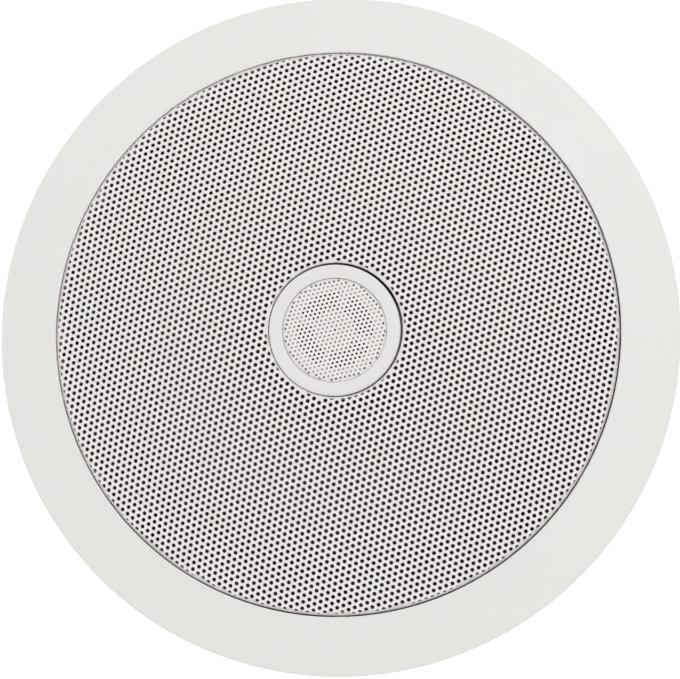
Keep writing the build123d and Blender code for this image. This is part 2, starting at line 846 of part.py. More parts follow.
nodes = {
    "mounting_frame": mounting_frame(),
    "front_grille": front_grille(),
    "tweeter_bezel": tweeter_bezel(),
    "tweeter_mesh": tweeter_mesh(),
    "tweeter_diaphragm": tweeter_diaphragm(),
    "tweeter_voice_coil": tweeter_voice_coil(),
    "tweeter_pole_plate": tweeter_pole_plate(),
    "tweeter_magnet": tweeter_magnet(),
    "tweeter_yoke": tweeter_yoke(),
    "tweeter_lid": tweeter_lid(),
    "tweeter_post": tweeter_post(),
    "post_nut": post_nut(),
    "woofer_basket": woofer_basket(),
    "woofer_gasket": woofer_gasket(),
    "woofer_surround": woofer_surround(),
    "woofer_cone": woofer_cone(),
    "woofer_former": woofer_former(),
    "woofer_winding": woofer_winding(),
    "woofer_spider": woofer_spider(),
    "woofer_top_plate": woofer_top_plate(),
    "woofer_magnet": woofer_magnet(),
    "woofer_yoke": woofer_yoke(),
    "basket_rivets": basket_rivets(),
    "woofer_screws": woofer_screws(),
    "crossover_tray": crossover_tray(),
    "crossover_board": crossover_board(),
    "board_screws": board_screws(),
    "capacitor": capacitor(),
    "inductor_bobbin": inductor_bobbin(),
    "inductor_winding": inductor_winding(),
    "resistor": resistor(),
    "terminal_block": terminal_block(),
    "terminal_contacts": terminal_contacts(),
    "tag_strip": tag_strip(),
    "solder_tags": solder_tags(),
    "tinsel_leads": wire_pair(tinsel_route, tinsel_radius),
    "woofer_leads": wire_pair(woofer_lead_route, lead_radius),
    "tweeter_leads": wire_pair(tweeter_lead_route, tweeter_lead_radius),
}
for name, place in zip(("terminal_lever_red", "terminal_lever_black"), lever_places()):
    nodes[name] = terminal_lever(place)
for number, place in enumerate(clamp_places(), 1):
    nodes[f"clamp_screw_{number}"] = clamp_screw_part(place)
    nodes[f"clamp_arm_{number}"] = clamp_arm_part(place)

os.makedirs("parts", exist_ok=True)
for name, solid in nodes.items():
    export_step(solid, f"parts/{name}.step")
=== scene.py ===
import math

import bmesh
import bpy
from mathutils import Matrix, Vector


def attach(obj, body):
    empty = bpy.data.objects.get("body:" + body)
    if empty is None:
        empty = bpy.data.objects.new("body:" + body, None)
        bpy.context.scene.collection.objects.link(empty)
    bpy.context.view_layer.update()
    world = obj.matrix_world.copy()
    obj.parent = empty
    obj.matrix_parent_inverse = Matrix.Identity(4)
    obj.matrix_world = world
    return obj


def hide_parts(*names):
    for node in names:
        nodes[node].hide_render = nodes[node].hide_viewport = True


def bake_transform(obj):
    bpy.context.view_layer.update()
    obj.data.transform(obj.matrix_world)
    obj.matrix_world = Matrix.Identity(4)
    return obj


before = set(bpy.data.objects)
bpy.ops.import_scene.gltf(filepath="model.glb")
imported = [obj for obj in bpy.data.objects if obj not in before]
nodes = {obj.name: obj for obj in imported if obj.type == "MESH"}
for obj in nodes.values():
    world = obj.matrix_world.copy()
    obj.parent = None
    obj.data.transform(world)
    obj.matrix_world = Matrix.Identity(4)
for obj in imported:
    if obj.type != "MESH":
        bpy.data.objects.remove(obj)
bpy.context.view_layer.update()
print("frame loaded,", len(nodes), "nodes")

mm = 0.001
fullTurn = 2 * math.pi
quarterTurn = math.pi / 2
weldGap = 0.001  # in millimetres, as all sizes below
softCrease = 50  # degrees, for bowed and round pieces
waveRadians = 20  # of a wave texture, to one unit at a scale of one


def linearColour(hexText):  # sRGB hex to linear RGBA
    channels = [int(hexText[i:i + 2], 16) / 255 for i in (1, 3, 5)]
    return [c / 12.92 if c <= 0.04045 else ((c + 0.055) / 1.055) ** 2.4 for c in channels] + [1.0]


def perMm(size):  # texture scale for a feature of that many millimetres
    return 1000.0 / size


def perBand(size):  # wave texture scale for bands that many millimetres apart
    return perMm(size) * fullTurn / waveRadians


def wire(tree, node, sockets):  # links a socket, sets any other value
    for key, value in sockets.items():
        if isinstance(value, bpy.types.NodeSocket):
            tree.links.new(value, node.inputs[key])
        else:
            node.inputs[key].default_value = value


def addNode(tree, kind, values=None, **settings):
    node = tree.nodes.new("ShaderNode" + kind)
    for key, value in settings.items():
        setattr(node, key, value)
    wire(tree, node, values or {})
    return node


def startMaterial(name):
    material = bpy.data.materials.new(name)
    material.use_nodes = True
    tree = material.node_tree
    place = addNode(tree, "TexCoord").outputs["Object"]
    return material, tree, tree.nodes["Principled BSDF"], place


# Moulded ABS, or nylon, from a spark-eroded tool: even satin skin, a very fine grain and a faint
# drift of tone.
def mouldedAbs(name, light, dark, grain, roughness):
    material, tree, shader, place = startMaterial(name)
    drift = addNode(tree, "TexNoise", {"Vector": place, "Scale": perMm(38), "Detail": 3.0})
    tone = addNode(tree, "Mix", {"Factor": drift.outputs["Fac"], "A": linearColour(dark),
                                 "B": linearColour(light)}, data_type="RGBA")
    skin = addNode(tree, "TexNoise", {"Vector": place, "Scale": perMm(grain), "Detail": 4.0,
                                      "Roughness": 0.6})
    gloss = addNode(tree, "MapRange", {"Value": skin.outputs["Fac"], "To Min": roughness - 0.07,
                                       "To Max": roughness + 0.07})
    bump = addNode(tree, "Bump", {"Height": skin.outputs["Fac"], "Strength": 0.16,
                                  "Distance": 0.02 * mm})
    wire(tree, shader, {"Base Color": tone.outputs["Result"], "Roughness": gloss.outputs["Result"],
                        "Normal": bump.outputs["Normal"], "IOR": 1.53})
    return material


# Painted shade: the moulding's front face at one level, inside a radius, is coloured near-black for
# the shade behind the grille, so that white plastic doesn't show through the grille.
def paintGrilleShade(material, level, reach, depth=0.3):
    tree = material.node_tree
    shader = tree.nodes["Principled BSDF"]
    bare = shader.inputs["Base Color"].links[0].from_socket
    place = addNode(tree, "TexCoord").outputs["Object"]
    height = addNode(tree, "SeparateXYZ", {"Vector": place}).outputs["Z"]
    across = addNode(tree, "VectorMath", {0: place, 1: (1, 1, 0)}, operation="MULTIPLY")
    radius = addNode(tree, "VectorMath", {0: across.outputs["Vector"]}, operation="LENGTH")
    onFace = addNode(tree, "Math", {0: height, 1: level * mm, 2: depth * mm}, operation="COMPARE")
    inside = addNode(tree, "Math", {0: radius.outputs["Value"], 1: reach * mm},
                     operation="LESS_THAN")
    shadeMask = addNode(tree, "Math", {0: onFace.outputs["Value"], 1: inside.outputs["Value"]},
                   operation="MULTIPLY")
    # near-black where the face lies behind the grille: painted shade
    tone = addNode(tree, "Mix", {"Factor": shadeMask.outputs["Value"], "A": bare,
                                 "B": linearColour("#242322")}, data_type="RGBA")
    wire(tree, shader, {"Base Color": tone.outputs["Result"]})


# Powder coat baked on pressed steel: soft orange peel and a matt sheen.
def powderCoat(name, light, dark, peel, roughness):
    material, tree, shader, place = startMaterial(name)
    drift = addNode(tree, "TexNoise", {"Vector": place, "Scale": perMm(22), "Detail": 2.0})
    tone = addNode(tree, "Mix", {"Factor": drift.outputs["Fac"], "A": linearColour(dark),
                                 "B": linearColour(light)}, data_type="RGBA")
    wave = addNode(tree, "TexNoise", {"Vector": place, "Scale": perMm(peel), "Detail": 1.0,
                                      "Roughness": 0.4})
    gloss = addNode(tree, "MapRange", {"Value": wave.outputs["Fac"], "To Min": roughness - 0.05,
                                       "To Max": roughness + 0.08})
    bump = addNode(tree, "Bump", {"Height": wave.outputs["Fac"], "Strength": 0.2,
                                  "Distance": 0.03 * mm})
    wire(tree, shader, {"Base Color": tone.outputs["Result"], "Roughness": gloss.outputs["Result"],
                        "Normal": bump.outputs["Normal"], "IOR": 1.5})
    return material


# Plated metal, such as zinc on steel: bright, with cloudy patches and a slight bloom.
def platedMetal(name, bright, bloom, roughness):
    material, tree, shader, place = startMaterial(name)
    cloud = addNode(tree, "TexNoise", {"Vector": place, "Scale": perMm(6), "Detail": 5.0,
                                       "Roughness": 0.62})
    tone = addNode(tree, "Mix", {"Factor": cloud.outputs["Fac"], "A": linearColour(bright),
                                 "B": linearColour(bloom)}, data_type="RGBA")
    crystal = addNode(tree, "TexNoise", {"Vector": place, "Scale": perMm(0.5), "Detail": 3.0})
    gloss = addNode(tree, "MapRange", {"Value": crystal.outputs["Fac"], "To Min": roughness - 0.1,
                                       "To Max": roughness + 0.12})
    bump = addNode(tree, "Bump", {"Height": crystal.outputs["Fac"], "Strength": 0.12,
                                  "Distance": 0.02 * mm})
    wire(tree, shader, {"Base Color": tone.outputs["Result"], "Roughness": gloss.outputs["Result"],
                        "Metallic": 1.0, "Normal": bump.outputs["Normal"]})
    return material


# Black enamel dipped on pressed steel: deep black, semi-gloss, slow ripples and a little dust.
def dippedEnamel():
    material, tree, shader, place = startMaterial("dipped black enamel")
    ripple = addNode(tree, "TexNoise", {"Vector": place, "Scale": perMm(2.5), "Detail": 2.0})
    dust = addNode(tree, "TexNoise", {"Vector": place, "Scale": perMm(0.7), "Detail": 6.0,
                                      "Roughness": 0.7})
    specks = addNode(tree, "MapRange", {"Value": dust.outputs["Fac"], "From Min": 0.56,
                                        "From Max": 0.8})
    tone = addNode(tree, "Mix", {"Factor": specks.outputs["Result"], "A": linearColour("#1D1C1B"),
                                 "B": linearColour("#343230")}, data_type="RGBA")
    gloss = addNode(tree, "MapRange", {"Value": dust.outputs["Fac"], "To Min": 0.26,
                                       "To Max": 0.5})
    bump = addNode(tree, "Bump", {"Height": ripple.outputs["Fac"], "Strength": 0.25,
                                  "Distance": 0.06 * mm})
    wire(tree, shader, {"Base Color": tone.outputs["Result"], "Roughness": gloss.outputs["Result"],
                        "Normal": bump.outputs["Normal"], "IOR": 1.5})
    return material


# Felted paper pulp, dyed black: matt, with matted fibres and small lumps.
def pressedPulp():
    material, tree, shader, place = startMaterial("pressed black pulp")
    fibre = addNode(tree, "TexNoise", {"Vector": place, "Scale": perMm(0.9), "Detail": 8.0,
                                       "Roughness": 0.72, "Distortion": 2.5})
    lump = addNode(tree, "TexVoronoi", {"Vector": place, "Scale": perMm(2.2)}, feature="SMOOTH_F1")
    tone = addNode(tree, "Mix", {"Factor": fibre.outputs["Fac"], "A": linearColour("#383432"),
                                 "B": linearColour("#58524E")}, data_type="RGBA")
    relief = addNode(tree, "Math", {0: fibre.outputs["Fac"], 1: lump.outputs["Distance"]},
                     operation="ADD")
    bump = addNode(tree, "Bump", {"Height": relief.outputs["Value"], "Strength": 0.5,
                                  "Distance": 0.08 * mm})
    gloss = addNode(tree, "MapRange", {"Value": fibre.outputs["Fac"], "To Min": 0.74,
                                       "To Max": 0.95})
    wire(tree, shader, {"Base Color": tone.outputs["Result"], "Roughness": gloss.outputs["Result"],
                        "Normal": bump.outputs["Normal"], "IOR": 1.45})
    return material


# Moulded nitrile rubber: dark, soft low sheen, a greyish bloom in patches.
def mouldedRubber():
    material, tree, shader, place = startMaterial("moulded nitrile rubber")
    bloom = addNode(tree, "TexNoise", {"Vector": place, "Scale": perMm(9), "Detail": 5.0,
                                       "Roughness": 0.6})
    tone = addNode(tree, "Mix", {"Factor": bloom.outputs["Fac"], "A": linearColour("#211F1E"),
                                 "B": linearColour("#363331")}, data_type="RGBA")
    skin = addNode(tree, "TexNoise", {"Vector": place, "Scale": perMm(0.3), "Detail": 2.0})
    bump = addNode(tree, "Bump", {"Height": skin.outputs["Fac"], "Strength": 0.15,
                                  "Distance": 0.02 * mm})
    gloss = addNode(tree, "MapRange", {"Value": bloom.outputs["Fac"], "To Min": 0.48,
                                       "To Max": 0.66})
    wire(tree, shader, {"Base Color": tone.outputs["Result"], "Roughness": gloss.outputs["Result"],
                        "Normal": bump.outputs["Normal"], "IOR": 1.52, "Sheen Weight": 0.15})
    return material


# Open-cell foam: black, with pits between the cell walls, the pits coloured darker as painted
# shade.
def cellFoam():
    material, tree, shader, place = startMaterial("open-cell foam")
    cells = addNode(tree, "TexVoronoi", {"Vector": place, "Scale": perMm(0.8)},
                    feature="DISTANCE_TO_EDGE")
    pits = addNode(tree, "MapRange", {"Value": cells.outputs["Distance"], "From Max": 0.35})
    # the darker colour in the pits is painted shade
    tone = addNode(tree, "Mix", {"Factor": pits.outputs["Result"], "A": linearColour("#383533"),
                                 "B": linearColour("#1C1B1A")}, data_type="RGBA")
    bump = addNode(tree, "Bump", {"Height": pits.outputs["Result"], "Strength": 0.6,
                                  "Distance": 0.15 * mm}, invert=True)
    wire(tree, shader, {"Base Color": tone.outputs["Result"], "Roughness": 0.95,
                        "Normal": bump.outputs["Normal"]})
    return material


# Sintered ferrite, ground on its faces: charcoal, grainy, with pale chips.
def sinteredFerrite():
    material, tree, shader, place = startMaterial("sintered ferrite")
    grain = addNode(tree, "TexNoise", {"Vector": place, "Scale": perMm(0.6), "Detail": 6.0,
                                       "Roughness": 0.75})
    chip = addNode(tree, "TexVoronoi", {"Vector": place, "Scale": perMm(3.5)}, feature="F1")
    chips = addNode(tree, "MapRange", {"Value": chip.outputs["Distance"], "From Min": 0.05,
                                       "From Max": 0.14, "To Min": 1.0, "To Max": 0.0})
    stone = addNode(tree, "Mix", {"Factor": grain.outputs["Fac"], "A": linearColour("#242427"),
                                  "B": linearColour("#48484C")}, data_type="RGBA")
    tone = addNode(tree, "Mix", {"Factor": chips.outputs["Result"], "A": stone.outputs["Result"],
                                 "B": linearColour("#5A5A5E")}, data_type="RGBA")
    bump = addNode(tree, "Bump", {"Height": grain.outputs["Fac"], "Strength": 0.35,
                                  "Distance": 0.05 * mm})
    gloss = addNode(tree, "MapRange", {"Value": grain.outputs["Fac"], "To Min": 0.45,
                                       "To Max": 0.72})
    wire(tree, shader, {"Base Color": tone.outputs["Result"], "Roughness": gloss.outputs["Result"],
                        "Normal": bump.outputs["Normal"], "IOR": 1.9})
    return material


# Woven cotton stiffened with resin: tan, open weave, drawn at 0.9 mm so that it shows.
def resinCloth(thread=0.9):
    material, tree, shader, place = startMaterial("resin-stiffened cotton")
    warp = addNode(tree, "TexWave", {"Vector": place, "Scale": perBand(thread), "Distortion": 0.4,
                                     "Detail": 1.0}, bands_direction="X")
    weft = addNode(tree, "TexWave", {"Vector": place, "Scale": perBand(thread), "Distortion": 0.4,
                                     "Detail": 1.0}, bands_direction="Y")
    weave = addNode(tree, "Math", {0: warp.outputs["Fac"], 1: weft.outputs["Fac"]},
                    operation="MULTIPLY")
    stain = addNode(tree, "TexNoise", {"Vector": place, "Scale": perMm(7), "Detail": 4.0})
    cloth = addNode(tree, "Mix", {"Factor": weave.outputs["Value"], "A": linearColour("#6E4E22"),
                                  "B": linearColour("#C79A55")}, data_type="RGBA")
    tone = addNode(tree, "Mix", {"Factor": stain.outputs["Fac"], "A": cloth.outputs["Result"],
                                 "B": linearColour("#9A7136")}, data_type="RGBA")
    bump = addNode(tree, "Bump", {"Height": weave.outputs["Value"], "Strength": 0.5,
                                  "Distance": 0.1 * mm})
    wire(tree, shader, {"Base Color": tone.outputs["Result"], "Roughness": 0.8,
                        "Normal": bump.outputs["Normal"]})
    return material


# Enamelled copper wire in layers: amber gloss over turns that lie side by side, drawn at 1 mm so
# that they show.
def woundCopper(wireAcross=1.0):
    material, tree, shader, place = startMaterial("enamelled copper wire")
    turns = addNode(tree, "TexWave", {"Vector": place, "Scale": perBand(wireAcross),
                                      "Distortion": 0.15}, bands_direction="Z")
    drift = addNode(tree, "TexNoise", {"Vector": place, "Scale": perMm(3), "Detail": 3.0})
    tone = addNode(tree, "Mix", {"Factor": drift.outputs["Fac"], "A": linearColour("#9C4A1E"),
                                 "B": linearColour("#C9733A")}, data_type="RGBA")
    bump = addNode(tree, "Bump", {"Height": turns.outputs["Fac"], "Strength": 0.7,
                                  "Distance": 0.12 * mm})
    gloss = addNode(tree, "MapRange", {"Value": drift.outputs["Fac"], "To Min": 0.2,
                                       "To Max": 0.36})
    wire(tree, shader, {"Base Color": tone.outputs["Result"], "Roughness": gloss.outputs["Result"],
                        "Metallic": 1.0, "Normal": bump.outputs["Normal"], "Coat Weight": 0.5})
    return material


# Glass-epoxy board under green lacquer: glossy, with the cloth just showing, and copper lands that
# are a lighter green than the gaps between them.
def lacqueredBoard(strand=0.8, land=5.2):
    material, tree, shader, place = startMaterial("lacquered glass epoxy")
    warp = addNode(tree, "TexWave", {"Vector": place, "Scale": perBand(strand)},
                   bands_direction="X")
    weft = addNode(tree, "TexWave", {"Vector": place, "Scale": perBand(strand)},
                   bands_direction="Y")
    cloth = addNode(tree, "Math", {0: warp.outputs["Fac"], 1: weft.outputs["Fac"]},
                    operation="MULTIPLY")
    copper = addNode(tree, "TexBrick", {"Vector": place, "Scale": perMm(land), "Mortar Size": 0.09,
                                        "Mortar Smooth": 0.1, "Brick Width": 2.2,
                                        "Row Height": 0.8, "Color1": linearColour("#1E6B3C"),
                                        "Color2": linearColour("#1A6036"),
                                        "Mortar": linearColour("#124A29")})
    tone = addNode(tree, "Mix", {"Factor": cloth.outputs["Value"], "A": copper.outputs["Color"],
                                 "B": linearColour("#2A7A48")}, data_type="RGBA")
    bump = addNode(tree, "Bump", {"Height": copper.outputs["Fac"], "Strength": 0.3,
                                  "Distance": 0.04 * mm}, invert=True)
    wire(tree, shader, {"Base Color": tone.outputs["Result"], "Roughness": 0.24,
                        "Normal": bump.outputs["Normal"], "IOR": 1.55})
    return material


# Shrunk vinyl sleeve: dark blue, glossy, with slow shrink ripples.
def shrunkSleeve():
    material, tree, shader, place = startMaterial("shrunk vinyl sleeve")
    ripple = addNode(tree, "TexNoise", {"Vector": place, "Scale": perMm(3), "Detail": 2.0})
    tone = addNode(tree, "Mix", {"Factor": ripple.outputs["Fac"], "A": linearColour("#1B2B55"),
                                 "B": linearColour("#263A6E")}, data_type="RGBA")
    bump = addNode(tree, "Bump", {"Height": ripple.outputs["Fac"], "Strength": 0.3,
                                  "Distance": 0.1 * mm})
    gloss = addNode(tree, "MapRange", {"Value": ripple.outputs["Fac"], "To Min": 0.2,
                                       "To Max": 0.34})
    wire(tree, shader, {"Base Color": tone.outputs["Result"], "Roughness": gloss.outputs["Result"],
                        "Normal": bump.outputs["Normal"], "IOR": 1.53})
    return material


# Cement body of a wire-wound resistor: chalky white, pinholes and cast texture.
def castCement():
    material, tree, shader, place = startMaterial("cast cement")
    grit = addNode(tree, "TexNoise", {"Vector": place, "Scale": perMm(0.5), "Detail": 7.0,
                                      "Roughness": 0.75})
    pin = addNode(tree, "TexVoronoi", {"Vector": place, "Scale": perMm(1.4)}, feature="F1")
    holes = addNode(tree, "MapRange", {"Value": pin.outputs["Distance"], "From Min": 0.08,
                                       "From Max": 0.2})
    tone = addNode(tree, "Mix", {"Factor": grit.outputs["Fac"], "A": linearColour("#B9B4AA"),
                                 "B": linearColour("#DAD6CE")}, data_type="RGBA")
    relief = addNode(tree, "Math", {0: grit.outputs["Fac"], 1: holes.outputs["Result"]},
                     operation="ADD")
    bump = addNode(tree, "Bump", {"Height": relief.outputs["Value"], "Strength": 0.4,
                                  "Distance": 0.1 * mm})
    wire(tree, shader, {"Base Color": tone.outputs["Result"], "Roughness": 0.9,
                        "Normal": bump.outputs["Normal"]})
    return material


# Pressed phenolic paper: brown, semi-matt, with the paper's flecks.
def phenolicPaper():
    material, tree, shader, place = startMaterial("phenolic paper")
    fleck = addNode(tree, "TexNoise", {"Vector": place, "Scale": perMm(0.8), "Detail": 6.0,
                                       "Roughness": 0.7})
    tone = addNode(tree, "Mix", {"Factor": fleck.outputs["Fac"], "A": linearColour("#4A2A14"),
                                 "B": linearColour("#7C4C26")}, data_type="RGBA")
    gloss = addNode(tree, "MapRange", {"Value": fleck.outputs["Fac"], "To Min": 0.35,
                                       "To Max": 0.55})
    bump = addNode(tree, "Bump", {"Height": fleck.outputs["Fac"], "Strength": 0.2,
                                  "Distance": 0.03 * mm})
    wire(tree, shader, {"Base Color": tone.outputs["Result"], "Roughness": gloss.outputs["Result"],
                        "Normal": bump.outputs["Normal"]})
    return material


# Braided tinsel: silver-grey strands on the slant, drawn at 0.7 mm so that they show.
def tinselBraid(strand=0.7):
    material, tree, shader, place = startMaterial("braided tinsel")
    lay = addNode(tree, "TexWave", {"Vector": place, "Scale": perBand(strand), "Distortion": 1.0},
                  bands_direction="DIAGONAL")
    tone = addNode(tree, "Mix", {"Factor": lay.outputs["Fac"], "A": linearColour("#6B6864"),
                                 "B": linearColour("#C4C1BB")}, data_type="RGBA")
    bump = addNode(tree, "Bump", {"Height": lay.outputs["Fac"], "Strength": 0.6,
                                  "Distance": 0.1 * mm})
    wire(tree, shader, {"Base Color": tone.outputs["Result"], "Roughness": 0.42, "Metallic": 0.85,
                        "Normal": bump.outputs["Normal"]})
    return material


# Extruded vinyl on hook-up wire: smooth, slightly greasy gloss, faint flow marks.
def vinylJacket(name, light, dark):
    material, tree, shader, place = startMaterial(name)
    flow = addNode(tree, "TexNoise", {"Vector": place, "Scale": perMm(1.6), "Detail": 3.0})
    tone = addNode(tree, "Mix", {"Factor": flow.outputs["Fac"], "A": linearColour(dark),
                                 "B": linearColour(light)}, data_type="RGBA")
    gloss = addNode(tree, "MapRange", {"Value": flow.outputs["Fac"], "To Min": 0.3,
                                       "To Max": 0.46})
    bump = addNode(tree, "Bump", {"Height": flow.outputs["Fac"], "Strength": 0.1,
                                  "Distance": 0.05 * mm})
    wire(tree, shader, {"Base Color": tone.outputs["Result"], "Roughness": gloss.outputs["Result"],
                        "Normal": bump.outputs["Normal"], "IOR": 1.52})
    return material


# Doped silk of the small diaphragm: tight dark weave with a soft sheen, threads drawn at 0.3 mm.
def dopedSilk(thread=0.3):
    material, tree, shader, place = startMaterial("doped silk")
    warp = addNode(tree, "TexWave", {"Vector": place, "Scale": perBand(thread)},
                   bands_direction="X")
    weft = addNode(tree, "TexWave", {"Vector": place, "Scale": perBand(thread)},
                   bands_direction="Y")
    weave = addNode(tree, "Math", {0: warp.outputs["Fac"], 1: weft.outputs["Fac"]},
                    operation="MULTIPLY")
    tone = addNode(tree, "Mix", {"Factor": weave.outputs["Value"], "A": linearColour("#141312"),
                                 "B": linearColour("#2F2C2A")}, data_type="RGBA")
    bump = addNode(tree, "Bump", {"Height": weave.outputs["Value"], "Strength": 0.3,
                                  "Distance": 0.03 * mm})
    wire(tree, shader, {"Base Color": tone.outputs["Result"], "Roughness": 0.5,
                        "Normal": bump.outputs["Normal"], "Sheen Weight": 0.3})
    return material


whiteAbs = mouldedAbs("moulded white ABS", "#EDEDEC", "#EAEAE9", grain=0.35, roughness=0.46)
# painted shade on the baffle face behind the grille
paintGrilleShade(whiteAbs, level=4.0, reach=84.3)
bezelAbs = mouldedAbs("moulded white ABS bezel", "#EBEAEA", "#E8E7E7", grain=0.3, roughness=0.42)
blackAbs = mouldedAbs("moulded black ABS", "#262627", "#1B1B1C", grain=0.4, roughness=0.5)
redAbs = mouldedAbs("moulded red ABS", "#B3241E", "#9C1C18", grain=0.35, roughness=0.4)
leverAbs = mouldedAbs("moulded black lever ABS", "#1E1E1F", "#151516", grain=0.35, roughness=0.4)
clampNylon = mouldedAbs("glass-filled nylon", "#D9D6CD", "#C9C5BA", grain=0.5, roughness=0.55)
whiteSteel = powderCoat("white powder coat", "#F2EEEE", "#EFEBEB", peel=0.9, roughness=0.5)
meshSteel = powderCoat("white powder coat, fine", "#F3F0F0", "#F0EDED", peel=0.5, roughness=0.5)
blackScrew = platedMetal("black zinc", "#2B2B2D", "#1C1C1E", roughness=0.42)
zincSteel = platedMetal("clear zinc", "#C8CAC9", "#B7B6AE", roughness=0.34)
nickel = platedMetal("bright nickel", "#CBC8C1", "#BDB8AE", roughness=0.22)
brass = platedMetal("tinned brass", "#C9BE9C", "#BFA766", roughness=0.34)
foil = platedMetal("aluminium foil", "#D3D4D5", "#C2C3C4", roughness=0.3)
enamel = dippedEnamel()
pulp = pressedPulp()
rubber = mouldedRubber()
foam = cellFoam()
ferrite = sinteredFerrite()
cloth = resinCloth()
copper = woundCopper()
board = lacqueredBoard()
sleeve = shrunkSleeve()
cement = castCement()
phenolic = phenolicPaper()
tinsel = tinselBraid()
jacket = vinylJacket("black vinyl", "#1F1F20", "#151516")
silk = dopedSilk()

finishes = {
    "mounting_frame": whiteAbs,
    "tweeter_bezel": bezelAbs,
    "tweeter_diaphragm": silk,
    "tweeter_voice_coil": copper,
    "tweeter_pole_plate": zincSteel,
    "tweeter_magnet": nickel,
    "tweeter_yoke": zincSteel,
    "tweeter_lid": blackAbs,
    "tweeter_post": blackAbs,
    "post_nut": zincSteel,
    "woofer_basket": enamel,
    "woofer_gasket": foam,
    "woofer_cone": pulp,
    "woofer_former": foil,
    "woofer_winding": copper,
    "woofer_top_plate": zincSteel,
    "woofer_magnet": ferrite,
    "woofer_yoke": zincSteel,
    "basket_rivets": zincSteel,
    "woofer_screws": blackScrew,
    "crossover_tray": blackAbs,
    "crossover_board": board,
    "board_screws": zincSteel,
    "capacitor": sleeve,
    "inductor_bobbin": blackAbs,
    "inductor_winding": copper,
    "resistor": cement,
    "terminal_block": blackAbs,
    "terminal_contacts": brass,
    "tag_strip": phenolic,
    "solder_tags": brass,
    "woofer_leads": jacket,
    "tweeter_leads": jacket,
    "terminal_lever_red": redAbs,
    "terminal_lever_black": leverAbs,
}
for number in range(1, 5):
    finishes[f"clamp_screw_{number}"] = blackScrew
    finishes[f"clamp_arm_{number}"] = clampNylon
for name, material in finishes.items():
    slots = nodes[name].data.materials
    if len(slots):
        for i in range(len(slots)):
            slots[i] = material
    else:
        slots.append(material)
print("finishes on", len(finishes), "nodes")


def makePiece(bm, name, material, crease=35):
    bmesh.ops.scale(bm, vec=(mm, mm, mm), verts=bm.verts)
    mesh = bpy.data.meshes.new(name)
    bm.to_mesh(mesh)
    bm.free()
    mesh.materials.append(material)
    mesh.shade_smooth()
    mesh.set_sharp_from_angle(angle=math.radians(crease))
    piece = bpy.data.objects.new(name, mesh)
    bpy.context.collection.objects.link(piece)
    return piece


def domeSphere(sheet):  # radius of the sphere that rises so far over the rim
    return (sheet["rim"] ** 2 + sheet["rise"] ** 2) / (2 * sheet["rise"])


def domeLevel(sheet, radius):
    return sheet["apex"] + sheet["sphere"] - math.sqrt(sheet["sphere"] ** 2 - radius ** 2)


# Where a rolled edge leaves the dome. Side is 1 for the rim and -1 for the lip of the centre hole.
def rolledEdge(sheet, edge, roll, side):
    centre = edge - side * roll
    start = math.asin(centre / (sheet["sphere"] - roll))
    level = sheet["apex"] + sheet["sphere"] - (sheet["sphere"] - roll) * math.cos(start)
    return {"centre": centre, "level": level, "start": start, "along": sheet["sphere"] * start}


def sheetPoint(sheet, along, depth):  # radius and level of a point in the pressed sheet
    centre, swing, past = 0, along / sheet["sphere"], 0
    bend, level = sheet["sphere"], sheet["apex"] + sheet["sphere"]
    rim = rolledEdge(sheet, sheet["rim"], sheet["roll"], 1)
    if along > rim["along"]:
        bend, centre, level = sheet["roll"], rim["centre"], rim["level"]
        turn = rim["start"] + (along - rim["along"]) / bend
        past = max(0, turn - quarterTurn) * bend
        swing = min(turn, quarterTurn)
    if sheet.get("hole"):
        lip = rolledEdge(sheet, sheet["hole"], sheet["lipRoll"], -1)
        if along < lip["along"]:
            bend, centre, level = sheet["lipRoll"], lip["centre"], lip["level"]
            turn = lip["start"] - (lip["along"] - along) / bend
            past = max(0, -quarterTurn - turn) * bend
            swing = max(turn, -quarterTurn)
    bend -= depth
    return centre + bend * math.sin(swing), level - bend * math.cos(swing) + past


def rollEnd(sheet, edge, roll, side):  # where a roll is square: distance along the sheet, and level
    rolled = rolledEdge(sheet, edge, roll, side)
    return rolled["along"] + side * roll * (quarterTurn - side * rolled["start"]), rolled["level"]


def punchedBlank(sheet, inner, outer):  # flat sheet of six-sided cells, one for each hole
    pitch = sheet["pitch"]
    row = pitch * math.sqrt(3) / 2
    bm = bmesh.new()
    bmesh.ops.create_circle(bm, segments=6, radius=pitch / math.sqrt(3))
    bmesh.ops.subdivide_edges(bm, edges=bm.edges[:], cuts=1)
    bmesh.ops.contextual_create(bm, geom=bm.edges[:])
    corner = max(bm.verts, key=lambda v: v.co.length).co
    lean = math.radians(30) - math.atan2(corner.y, corner.x)  # flat sides to the row's neighbours
    bmesh.ops.rotate(bm, cent=(0, 0, 0), matrix=Matrix.Rotation(lean, 3, "Z"), verts=bm.verts)
    steps = 2 * (int(outer / pitch) + 2)
    pairs = int(outer / row) + 2
    for dvec, count in (((pitch, 0, 0), steps), ((pitch / 2, row, 0), 1), ((0, 2 * row, 0), pairs)):
        bmesh.ops.spin(bm, geom=bm.verts[:] + bm.edges[:] + bm.faces[:], cent=(0, 0, 0),
                       axis=(0, 0, 1), dvec=dvec, angle=0, steps=count, use_duplicate=True)
    back = (-pitch * steps / 2, -2 * row * (pairs // 2), 0)
    bmesh.ops.translate(bm, vec=back, verts=bm.verts)
    turned = Matrix.Rotation(math.radians(sheet["rowAngle"]), 3, "Z")
    bmesh.ops.rotate(bm, cent=(0, 0, 0), matrix=turned, verts=bm.verts)
    bmesh.ops.scale(bm, vec=sheet["drawn"], verts=bm.verts)
    bmesh.ops.translate(bm, vec=(*sheet["firstHole"], 0), verts=bm.verts)
    outside = [f for f in bm.faces if not inner < f.calc_center_median().length < outer]
    bmesh.ops.delete(bm, geom=outside, context="FACES")
    bmesh.ops.remove_doubles(bm, verts=bm.verts, dist=pitch / 100)
    return bm


